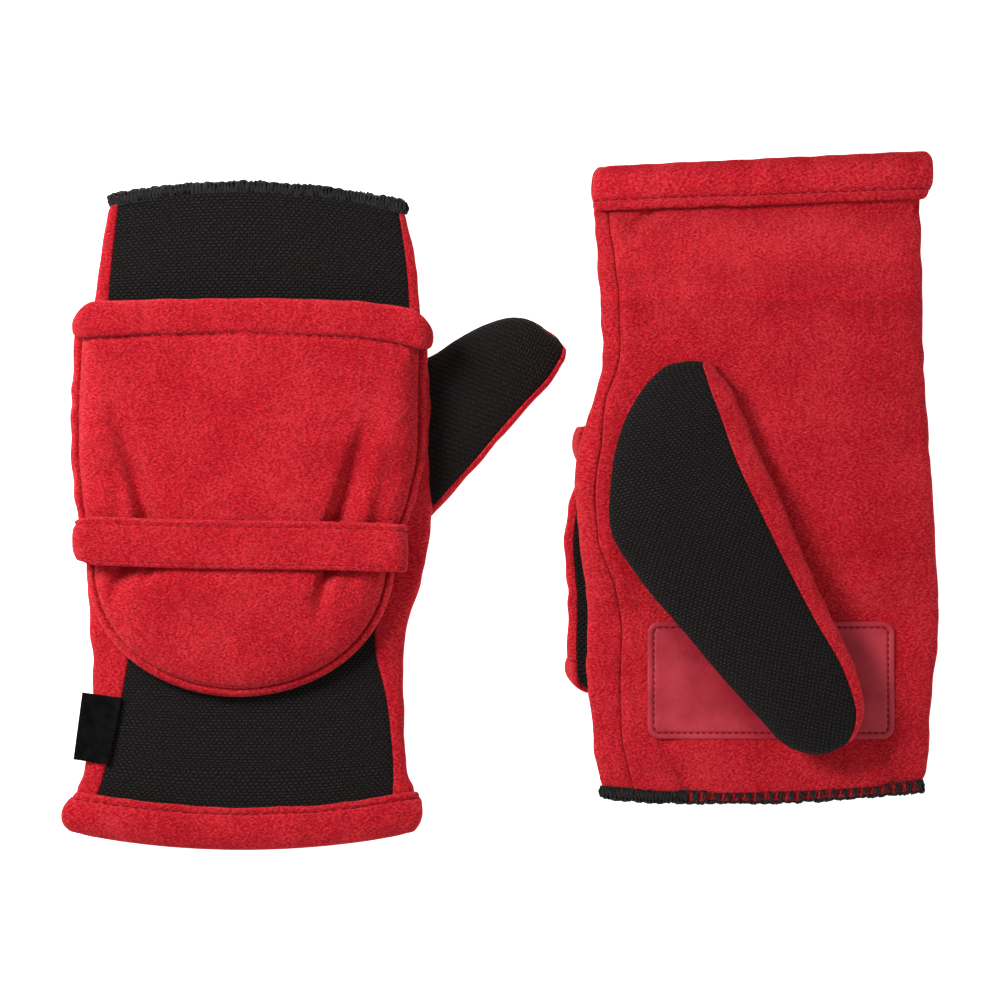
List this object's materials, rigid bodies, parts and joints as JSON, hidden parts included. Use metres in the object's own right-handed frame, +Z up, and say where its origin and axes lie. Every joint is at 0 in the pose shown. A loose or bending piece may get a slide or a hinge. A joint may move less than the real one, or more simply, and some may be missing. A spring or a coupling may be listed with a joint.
{
  "type": "convertible flip-top mittens",
  "caption": "Pair of fleece fingerless mittens with flip-over caps folded back under straps, woven backs, separate thumbs, rolled hems and a stitched grip patch on the palm.",
  "frame": {"origin": "on the table, under the middle of the pair's bounding box", "axes": "+X across the pair from the left mitten to the right one, +Y the way the left mitten's fingers point, +Z up from the table"},
  "size_m": [0.2459, 0.196, 0.0345],
  "materials": {
    "red_fleece": "short-pile fleece",
    "black_weave": "woven, small dobby figure",
    "faux_leather": "fine grain, slight sheen",
    "black_thread": "overlock stitching",
    "red_thread": "sewing thread",
    "elastic": "braided elastic",
    "black_tag": "woven satin tape, blank"
  },
  "bodies": {
    "left_glove": {"left_palm_panel": "red_fleece", "left_side_panel": "red_fleece", "left_back_panel": "black_weave", "left_cuff_hem": "red_fleece", "left_finger_overlock": "black_thread", "left_wrist_elastic": "elastic", "left_thumb_gusset": "black_weave", "left_grip_patch": "faux_leather", "left_patch_stitching": "red_thread", "left_strap": "red_fleece"},
    "left_cap": {"left_cap_back": "black_weave", "left_cap_palm": "red_fleece", "left_cap_hem": "red_fleece"},
    "left_thumb": {"left_thumb_back": "black_weave", "left_thumb_palm": "red_fleece"},
    "right_glove": {"right_palm_panel": "red_fleece", "right_side_panel": "red_fleece", "right_back_panel": "black_weave", "right_cuff_hem": "red_fleece", "right_finger_overlock": "black_thread", "right_wrist_elastic": "elastic", "right_thumb_gusset": "black_weave", "right_grip_patch": "faux_leather", "right_patch_stitching": "red_thread", "right_strap": "red_fleece"},
    "right_cap": {"right_cap_back": "black_weave", "right_cap_palm": "red_fleece", "right_cap_hem": "red_fleece"},
    "right_thumb": {"right_thumb_back": "black_weave", "right_thumb_palm": "red_fleece"},
    "left_tag": {"left_side_tag": "black_tag"}
  },
  "joints": [
    {"name": "left_cap_flip", "type": "hinge", "parent": "left_glove", "child": "left_cap", "pos_m": [-0.07, 0.05, 0.0127], "axis": [-1, 0, 0], "range_deg": [0, 180], "deforming": ["left_strap", "left_cap_palm", "left_cap_hem"]},
    {"name": "left_thumb_fold", "type": "hinge", "parent": "left_glove", "child": "left_thumb", "pos_m": [-0.0182, 0.018, -0.0002], "axis": [0, 1, 0], "range_deg": [0, 165]},
    {"name": "left_tag_flap", "type": "hinge", "parent": "left_glove", "child": "left_tag", "pos_m": [-0.1084, -0.0645, 0.0114], "axis": [0.1392, 0.9903, 0], "range_deg": [0, 150]},
    {"name": "right_mitten_lift", "type": "slide", "parent": "left_glove", "child": "right_glove", "axis": [0, 0, 1], "range_m": [0, 0.08]},
    {"name": "right_cap_flip", "type": "hinge", "parent": "right_glove", "child": "right_cap", "pos_m": [0.0722, -0.05, 0.0127], "axis": [-1, 0, 0], "range_deg": [0, 180], "deforming": ["right_strap", "right_cap_palm", "right_cap_hem"]},
    {"name": "right_thumb_fold", "type": "hinge", "parent": "right_glove", "child": "right_thumb", "pos_m": [0.04502, 0.006, 0.03], "axis": [-0.0854, -0.9963, 0], "range_deg": [0, 165]}
  ]
}
